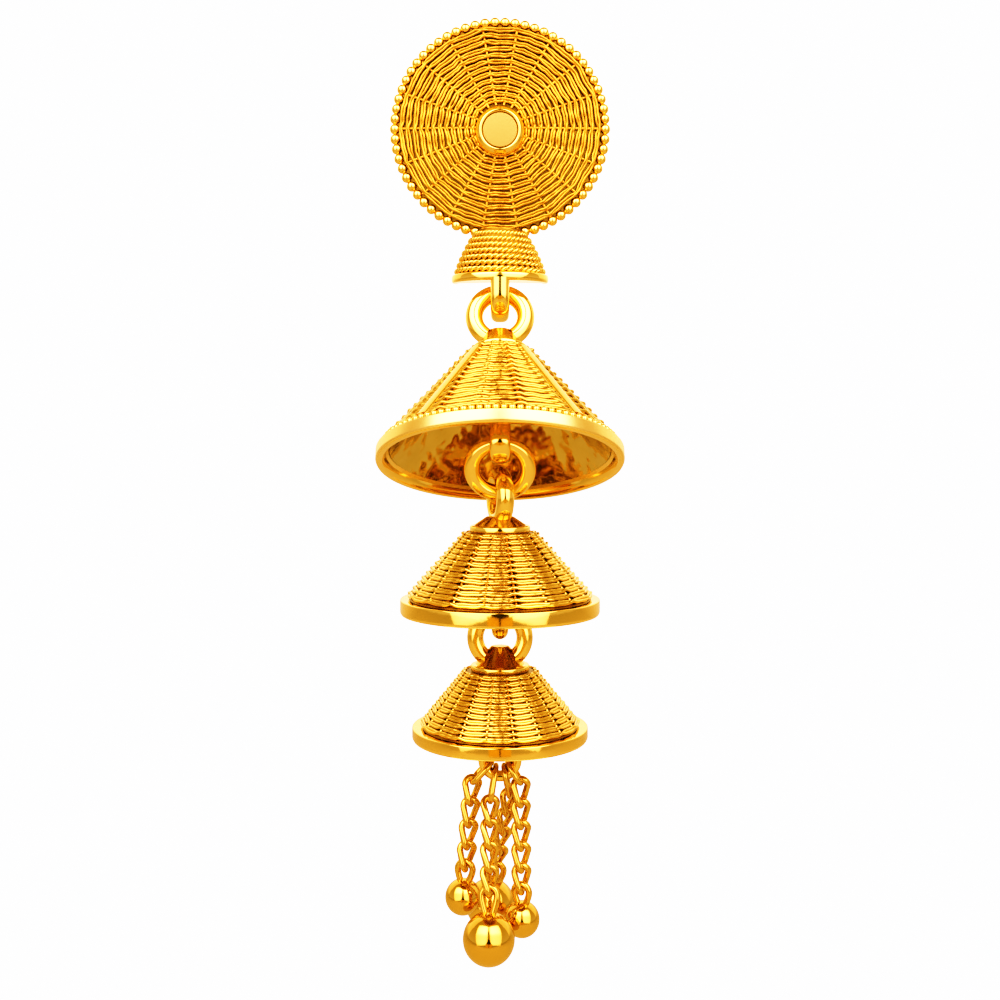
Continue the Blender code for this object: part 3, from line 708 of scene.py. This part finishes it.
def buildDisc():
    edge = disc["radius"]
    front = -disc["thickness"]
    corners = [(0, 0, 0), (edge, 0, 0.1), (edge, front, 0.12)]
    for share in (0.9, 0.75, 0.5, 0.25, 0):
        corners.append((edge * share, front - disc["dome"] * (1 - share ** 2), 0))
    # the plate's dark gold is painted shade between the wires and beads in front of it
    keepStud("disc_plate", lathe("disc_plate", corners, 128, frontUp), "ground")
    rows = disc["rows"]
    mesh = repeated("disc_weave", trees["rows"], rows | {"Material": golds["disc"]}, frontUp)
    keepStud("disc_weave", mesh)
    spokes = disc["spokes"]
    spokes = {
        "Stakes": rows["Stakes"],
        "Top": (rows["Top Radius"] * spokes["topShare"], 0, spokes["topDepth"]),
        "Foot": (rows["Foot Radius"] + spokes["pastFoot"], 0, spokes["footDepth"]),
        "Wire Radius": spokes["wire"],
        "Material": golds["disc"],
    }
    keepStud("disc_stakes", repeated("disc_stakes", trees["stakes"], spokes, frontUp))
    place = frontUp @ Matrix.Translation((0, 0, -disc["beadDepth"]))
    beads = disc["beads"] | {"Material": golds["polished"]}
    keepStud("disc_beads", repeated("disc_beads", trees["beads"], beads, place))
    place = Matrix.Translation(down * disc["bossDrop"]) @ frontUp
    boss = lathe("disc_boss", disc["boss"], 96, place, sharp=30)
    keepStud("disc_boss", boss, "polished")
    face = lathe("disc_boss_face", disc["bossFace"], 96, place, sharp=30)
    keepStud("disc_boss_face", face, "brushed")
    print("disc done")


halfBell = {
    "top": -7.02 * mm, "axisY": -0.45 * mm, "backY": -0.05 * mm, "lipFoot": 3.62,
    "core": [(0, 0, 0), (1.70, 0, 0), (2.46, 1.50, 0.4), (2.86, 3.05, 0), (0, 3.05, 0)],
    "lip": [(0, 2.96, 0), (2.95, 2.96, 0), (3.05, 3.0, 0.05), (3.38, 3.06, 0.26), (3.38, 3.60, 0.26),
            (3.08, 3.62, 0.05), (2.95, 3.56, 0.04), (0, 3.50, 0)],
    "ropes": {"Rows": 7, "Stakes": 40, "Steps": 7, "Strands": 2, "Top Radius": 1.76 * mm,
              "Foot Radius": 2.98 * mm, "Top Depth": 0.30 * mm, "Foot Depth": 2.82 * mm,
              "Bulge": 0.10 * mm, "Dome": 0.0, "Wire Radius": 0.125 * mm, "Lift": 0.10 * mm, "Bump": 0.0,
              "Twisted": 1.0, "Pinch": 0.0, "Spread": -0.10 * mm, "Sharpness": 1.0, "Straight": 0.0,
              "Arch": 0.0, "Looseness": 0.02 * mm, "Seed": 8.0},
    "loop": {"drop": 0.85 * mm, "radius": 1.28 * mm, "width": 1.28 * mm, "thickness": 1.28 * mm,
             "y": -2.02 * mm},
}


def buildHalfBell():
    place = Matrix.Translation((0, halfBell["axisY"], halfBell["top"]))
    core = cutFlat(lathe("half_bell_core", halfBell["core"], 96, place), halfBell["backY"])
    # the core's dark gold is painted shade between the ropes
    keepStud("half_bell_core", core, "ground")
    lip = cutFlat(lathe("half_bell_lip", halfBell["lip"], 120, place), halfBell["backY"])
    keepStud("half_bell_lip", lip, "polished")
    ropes = halfBell["ropes"] | {"Material": golds["woven"]}
    ropes = repeated("half_bell_ropes", trees["rows"], ropes, place)
    keepStud("half_bell_ropes", cutFlat(ropes, halfBell["backY"]))
    loop = halfBell["loop"]
    underside = halfBell["top"] - halfBell["lipFoot"] * mm
    centre = Vector((0, loop["y"], underside - loop["drop"]))
    mesh = bailWire("stud_loop", centre, axisY, loop["radius"], loop["drop"] + 0.2 * mm, loop["width"],
                    loop["thickness"], Matrix.Identity(4), square=0.72)
    keepStud("stud_loop", mesh, "polished")
    print("half bell done")


post = {"radius": 0.45, "length": 10.5, "gap": 0.10 * mm}


def buildPost():
    corners = [(0, 0, 0), (post["radius"], 0, 0.03), (post["radius"], post["length"] - 0.35, 0.15),
               (post["radius"] * 0.6, post["length"], 0.1), (0, post["length"], 0)]
    place = Matrix.Translation((0, post["gap"], 0)) @ Matrix.Rotation(math.radians(90), 4, "X")
    pin = lathe("ear_post_pin", corners, 40, place)
    keep("ear_post_pin", pin, "stud", ["ear_post"], "polished")
    print("post done")


buildDisc()
buildHalfBell()
buildPost()


# bells

bellWall = 0.50
bandWall = 0.50
seam = 0.02     # how far neighbouring shells reach into one another
stripParts = 8

# the bells' weave, and what follows the strand's radius
weave = {"Stakes": 18, "Steps": 12, "Strands": 2, "Bulge": 0.0, "Dome": 0.0, "Twisted": 0.0, "Pinch": 0.75,
         "Sharpness": 10.0, "Straight": 0.2}
strandShares = {"Wire Radius": 1.0, "Lift": 0.5, "Bump": 0.6, "Spread": 0.82, "Arch": 0.25, "Looseness": 1.7}

upperBell = {
    "body": "upper_bell", "tilt": 22.5, "sides": 144,
    "capTopRadius": 0.93, "capTopDepth": 2.96, "capFootRadius": 1.50, "collarRadius": 1.92,
    "collarDepth": 4.15, "collarHeight": 0.32, "wallTopRadius": 2.16, "bandRadius": 8.04,
    "bandDepth": 11.50, "bandHeight": 0.85, "ledge": 0.20, "bandGold": "satin", "weaveGold": "cap",
    "rows": 14, "strand": 0.132, "weaveStart": 0.26, "wallEnd": 0.52, "stripTurns": (-40, 40, 140, -140),
    "stripWidth": 0.85,
    "beads": {"Count": 98, "Bead Radius": 0.245 * mm, "Unevenness": 0.10, "Seed": 12},
    "ring": {"radius": 1.75, "wire": 1.18, "drop": 1.75, "turn": None},
    "loop": {"depth": 10.65, "radius": 1.14, "width": 1.34, "thickness": 0.72, "across": "Y", "square": 0.8},
}

middleBell = {
    "body": "middle_bell", "tilt": 2.5, "sides": 128,
    "capTopRadius": 0.87, "capTopDepth": 1.55, "capFootRadius": 1.80, "collarRadius": 2.00,
    "collarDepth": 2.14, "collarHeight": 0.46, "wallTopRadius": 2.42, "bandRadius": 6.62,
    "bandDepth": 7.00, "bandHeight": 0.98, "ledge": 0.26, "bandGold": "polished", "weaveGold": "woven",
    "rows": 13, "strand": 0.112, "weaveStart": 0.16, "wallEnd": 0.20, "stripTurns": (),
    "beads": None,
    "ring": {"radius": 1.45, "wire": 1.18, "drop": 0.21, "turn": 14},
    "loop": {"depth": 7.795, "radius": 1.35, "width": 1.10, "thickness": 1.10, "across": "Y", "square": 1.0},
}

lowerBell = {
    "body": "lower_bell", "tilt": 2.5, "sides": 120,
    "capTopRadius": 0.60, "capTopDepth": 2.20, "capFootRadius": 1.62, "collarRadius": 1.94,
    "collarDepth": 3.40, "collarHeight": 0.40, "wallTopRadius": 2.42, "bandRadius": 5.82,
    "bandDepth": 7.48, "bandHeight": 0.82, "ledge": 0.36, "bandGold": "polished", "weaveGold": "woven",
    "rows": 12, "strand": 0.100, "weaveStart": 0.14, "wallEnd": 0.18, "stripTurns": (),
    "beads": None,
    "ring": {"radius": 1.64, "wire": 1.09, "drop": 1.64, "turn": None},
    "loop": {"depth": 9.76, "radius": 1.085, "width": 0.72, "thickness": 0.72, "across": "X", "square": 1.0},
}


def bellPlace(bell):
    return Matrix.Translation(pivots[bell["body"]]) @ Matrix.Rotation(-math.radians(bell["tilt"]), 4, "X")


def buildBell(bell):
    body = bell["body"]
    place = bellPlace(bell)
    sides, strand, wallTop = bell["sides"], bell["strand"], bell["wallTopRadius"]
    capFoot, collarRadius, collarDepth = bell["capFootRadius"], bell["collarRadius"], bell["collarDepth"]
    bandRadius, bandDepth = bell["bandRadius"], bell["bandDepth"]

    def keepHere(part, mesh, gold=None):
        keep(body + "_" + part, mesh, body, [body], gold)

    def turned(part, corners, gold, sides=sides, sharp=42):
        keepHere(part, lathe(body + "_" + part, corners, sides, place, sharp), gold)

    collarFoot = collarDepth + bell["collarHeight"]
    bandFoot = bandDepth + bell["bandHeight"]
    wallFoot = bandRadius - bell["ledge"]
    slope = (wallFoot - wallTop) / (bandDepth - collarFoot)
    lean = math.hypot(1, slope)     # a thickness across the wall, measured level
    inset = bellWall * lean
    innerTop = collarFoot + bellWall / 2
    innerTopRadius = wallTop - inset + slope * (innerTop - collarFoot)
    innerFoot = wallFoot - inset
    skin = strand * 1.8 * lean

    cap = [(0, bell["capTopDepth"], 0), (bell["capTopRadius"], bell["capTopDepth"], 0.10),
           (capFoot, collarDepth, 0.06), (collarRadius, collarDepth, 0.12), (collarRadius, collarFoot, 0.12),
           (collarRadius - 0.3, collarFoot + 0.1, 0), (0, collarFoot + 0.1, 0)]
    turned("cap", cap, "cap", sides // 2, 28)
    collar = [(capFoot - 0.1, collarDepth - 0.01, 0), (collarRadius + 0.01, collarDepth - 0.01, 0.14),
              (collarRadius + 0.01, collarFoot + 0.01, 0.14), (capFoot - 0.1, collarFoot + 0.01, 0)]
    turned("collar", collar, "polished")

    # dark layer under the weave; its colour is painted shade between the strands
    ground = [(capFoot - 0.4, collarFoot + seam, 0), (wallTop - skin, collarFoot + seam, 0.05),
              (wallFoot - skin, bandDepth + seam * 2, 0), (innerFoot + seam, bandDepth + seam * 2, 0),
              (innerTopRadius + seam, innerTop - seam, 0), (capFoot - 0.4, innerTop - seam, 0)]
    turned("ground", ground, "ground")
    inner = [(0, innerTop - 0.06, 0), (innerTopRadius, innerTop - 0.06, 0.1),
             (innerFoot + 0.01, bandDepth, 0), (innerFoot - 0.05, bandDepth + 0.12, 0),
             (innerTopRadius - 0.06, innerTop + 0.06, 0.25), (0, innerTop + seam, 0)]
    turned("inside", inner, "cast")

    band = [(innerFoot, bandDepth - seam, 0.0), (bandRadius, bandDepth - seam, 0.08),
            (bandRadius, bandFoot - 0.16, 0.05), (bandRadius - 0.08, bandFoot - 0.04, 0.05),
            (bandRadius - 0.2, bandFoot - 0.04, 0), (innerFoot, bandDepth + 0.1, 0)]
    turned("band", band, bell["bandGold"], sides * 2, 34)
    lip = [(bandRadius - 0.06, bandFoot - 0.05, 0), (bandRadius - 0.10, bandFoot, 0.05),
           (bandRadius - bandWall + 0.06, bandFoot, 0.10),
           (bandRadius - bandWall - 0.10, bandFoot - 0.30, 0.12),
           (bandRadius - bandWall - 0.22, bandDepth + 0.1, 0),
           (bandRadius - 0.3, bandDepth + 0.1, 0)]
    turned("lip", lip, "polished", sides * 2, 34)

    # the strands lie half in the wall's outline
    middle = strand * lean
    topDepth = collarFoot + bell["weaveStart"]
    footDepth = bandDepth - bell["wallEnd"] - strand

    def radiusAt(depth):
        return wallTop + slope * (depth - collarFoot) - middle

    rows = weave | {label: strand * share * mm for label, share in strandShares.items()} | {
        "Rows": bell["rows"], "Seed": float(bell["rows"]), "Material": golds[bell["weaveGold"]],
        "Top Radius": radiusAt(topDepth) * mm, "Foot Radius": radiusAt(footDepth) * mm,
        "Top Depth": topDepth * mm, "Foot Depth": footDepth * mm,
    }
    keepHere("weave", repeated(body + "_weave", trees["rows"], rows, place))
    stakes = {
        "Stakes": weave["Stakes"], "Wire Radius": strand * 1.05 * mm, "Material": rows["Material"],
        "Top": (rows["Top Radius"] - strand * mm, 0, -rows["Top Depth"]),
        "Foot": (rows["Foot Radius"] - strand * mm, 0, -rows["Foot Depth"]),
    }
    keepHere("stakes", repeated(body + "_stakes", trees["stakes"], stakes, place))
    for index, turn in enumerate(bell["stripTurns"]):
        outward = Matrix.Rotation(math.radians(turn), 3, "Z") @ -axisY
        sideways = outward.cross(down)
        points = []
        for part in range(stripParts + 1):
            depth = topDepth + (footDepth + strand - topDepth) * part / stripParts
            points.append((outward * (radiusAt(depth) + middle * 0.9) + down * depth) * mm)
        mesh = wire(body + "_strip", points, [sideways] * len(points), bell["stripWidth"] * mm,
                    strand * 1.7 * mm, place, closed=False, sides=16, square=0.8)
        keepHere("strip_" + str(index + 1), mesh, "woven")
    if bell["beads"]:
        size = bell["beads"]["Bead Radius"]
        depth = (bandDepth - seam) * mm - size * 0.9
        beads = bell["beads"] | {"Radius": wallFoot * mm - size * 1.1, "Material": golds["polished"]}
        ring = repeated(body + "_bead_row", trees["beads"], beads, place @ Matrix.Translation((0, 0, -depth)))
        keepHere("bead_row", ring)

    hoop = bell["ring"]
    across = axisX if hoop["turn"] is None else Matrix.Rotation(math.radians(hoop["turn"]), 3, "Z") @ axisY
    mesh = ringWire(body + "_ring", down * (hoop["drop"] * mm), across, down, hoop["radius"] * mm,
                    hoop["wire"] * mm, place)
    keepHere("ring", mesh, "polished")
    loop = bell["loop"]
    across = axisY if loop["across"] == "Y" else axisX
    leg = (loop["depth"] - innerTop + 0.15) * mm
    mesh = bailWire(body + "_loop", down * (loop["depth"] * mm), across, loop["radius"] * mm, leg,
                    loop["width"] * mm, loop["thickness"] * mm, place, square=loop["square"])
    keepHere("loop", mesh, "polished")
    print(body, "done")


linkRing = {"radius": 1.855 * mm, "wire": 1.10 * mm, "lean": 22.5}


def buildLinkRing():
    place = Matrix.Translation(pivots["link_ring"]) @ Matrix.Rotation(math.radians(linkRing["lean"]), 4, "X")
    mesh = ringWire("link_ring_wire", down * linkRing["radius"], axisX, down, linkRing["radius"],
                    linkRing["wire"], place)
    keep("link_ring_wire", mesh, "link_ring", ["link_ring"], "polished")
    print("link ring done")


buildBell(upperBell)
buildLinkRing()
buildBell(middleBell)
buildBell(lowerBell)


# tassel

chain = {
    "loopWire": 0.72 * mm, "loopRadius": 1.085 * mm, "gap": 0.08 * mm, "wire": 0.43 * mm,
    "linkLength": 1.76 * mm, "linkWidth": 0.98 * mm, "twist": -90, "bite": 0.12 * mm,
    "topWire": 0.37 * mm, "topWidth": 1.30 * mm, "eyeWidth": 1.04 * mm, "eyeFoot": 0.50 * mm, "eyeTurn": 15,
}

# leans are sideways to +X and forwards to -Y, in degrees
tassel = {
    "left": {"hook": -62, "topLean": (-42, -6), "topLength": 1.95 * mm, "lean": (-4.6, 3), "links": 4,
             "ball": 2.36 * mm, "eye": 1.38 * mm},
    "front": {"hook": -20, "topLean": (-10, 22), "topLength": 2.34 * mm, "lean": (-0.5, 14), "links": 4,
              "ball": 3.36 * mm, "eye": 1.70 * mm},
    "back": {"hook": 20, "topLean": (10, -22), "topLength": 2.24 * mm, "lean": (-9, -11), "links": 4,
             "ball": 3.36 * mm, "eye": 1.70 * mm},
    "right": {"hook": 52, "topLean": (32, 14), "topLength": 1.62 * mm, "lean": (0.5, 1), "links": 5,
              "ball": 2.36 * mm, "eye": 1.38 * mm},
}


def leaning(sideways, forwards):
    return Vector((math.tan(math.radians(sideways)), -math.tan(math.radians(forwards)), -1)).normalized()


# oval link whose plane turns by twist on the way down
def linkMesh(name, start, along, face, width, length, thickness, twist):
    middle = start + along * (length / 2)
    straight = length / 2 - width / 2
    points = []
    normals = []
    for index in range(48):
        angle = 2 * math.pi * (index + 0.5) / 48
        lift = straight if math.sin(angle) > 0 else -straight
        run = lift + width / 2 * math.sin(angle)
        across = Matrix.Rotation(math.radians(twist) * run / length, 3, along) @ face
        points.append(middle + across * (width / 2 * math.cos(angle)) + along * run)
        normals.append(across.cross(along))
    return wire(name, points, normals, thickness, thickness, Matrix.Identity(4), sides=14)


# takes a shape that hangs down from the origin, broad along X, to its place
def standing(origin, along, face):
    side = face.normalized()
    up = -along
    deep = up.cross(side)
    return Matrix.Translation(origin) @ Matrix((side, deep, up)).transposed().to_4x4()


def buildTassel():
    centre = bellPlace(lowerBell) @ (down * (lowerBell["loop"]["depth"] * mm))
    mesh = linkMesh("link_source", Vector((0, 0, 0)), down, axisX, chain["linkWidth"], chain["linkLength"],
                    chain["wire"], chain["twist"])
    source = addObject("link_source", mesh)
    pitch = chain["linkLength"] - chain["wire"] + chain["bite"]
    for side, plan in tassel.items():
        hook = math.radians(plan["hook"])
        outward = Vector((math.sin(hook), 0, -math.cos(hook)))
        outward.rotate(Matrix.Rotation(-math.radians(lowerBell["tilt"]), 3, "X"))
        topDown = leaning(*plan["topLean"])
        seat = (chain["loopWire"] + chain["topWire"]) / 2 + chain["gap"]
        start = centre + outward * chain["loopRadius"] - topDown * seat
        topFace = (axisY - topDown * topDown.dot(axisY)).normalized()
        top = linkMesh("top", start, topDown, topFace, chain["topWidth"], plan["topLength"],
                       chain["topWire"], 0)
        keep("chain_" + side + "_top", top, "lower_bell", ["chain_" + side], "chain")
        along = leaning(*plan["lean"])
        grip = (chain["wire"] + chain["topWire"]) / 2 - chain["bite"]
        origin = start + topDown * plan["topLength"] - along * grip
        face = Matrix.Rotation(math.radians(chain["twist"]) / 2, 3, along) @ along.cross(topFace).normalized()
        turn = math.radians(chain["twist"]) + math.pi / 2
        settings = {"Link": source, "Count": plan["links"], "Pitch": pitch, "Turn": turn,
                    "Material": golds["chain"]}
        links = repeated("chain_" + side + "_links", trees["links"], settings, standing(origin, along, face))
        links.shade_smooth()
        keep("chain_" + side + "_links", links, "lower_bell", ["chain_" + side])
        bottom = origin + along * (pitch * plan["links"] + chain["wire"] - chain["bite"])
        eyeTop = bottom - along * (chain["wire"] + chain["gap"])
        eyeTurn = turn * plan["links"] + math.radians(chain["eyeTurn"] - chain["twist"] / 2)
        eyeFace = Matrix.Rotation(eyeTurn, 3, along) @ face
        buildBall("ball_" + side, plan, standing(eyeTop, along, eyeFace))
    bpy.data.objects.remove(source)
    print("tassel done")


legParts = 9


def buildBall(name, plan, place):
    crown = chain["eyeWidth"] / 2
    foot = plan["eye"] + 0.2 * mm
    points = []
    for index in range(legParts):
        t = index / legParts
        shareOut = t * t * (3 - 2 * t)
        wide = chain["eyeFoot"] / 2 + (crown - chain["eyeFoot"] / 2) * shareOut
        points.append(Vector((wide, 0, -(foot + (crown - foot) * t))))
    points += [Vector((crown * math.cos(a), 0, -crown + crown * math.sin(a)))
               for a in [math.pi * k / 18 for k in range(19)]]
    points += [Vector((-point.x, 0, point.z)) for point in reversed(points[:legParts])]
    eye = wire(name + "_eye", points, [axisY] * len(points), chain["wire"], chain["wire"], place,
               closed=False, sides=14)
    keep(name + "_eye", eye, "lower_bell", [name], "chain")
    radius = plan["ball"] / 2 / mm
    centre = (plan["eye"] - chain["wire"] / 2) / mm + radius
    arcs = [math.pi * band / 40 for band in range(41)]
    corners = [(radius * math.sin(a), centre - radius * math.cos(a), 0) for a in arcs[:-1]]
    corners.append((0, centre + radius, 0))
    ball = lathe(name + "_body", corners, 80, place, sharp=80)
    keep(name + "_body", ball, "lower_bell", [name], "chain")


buildTassel()
print(len(pieceNames), "pieces")
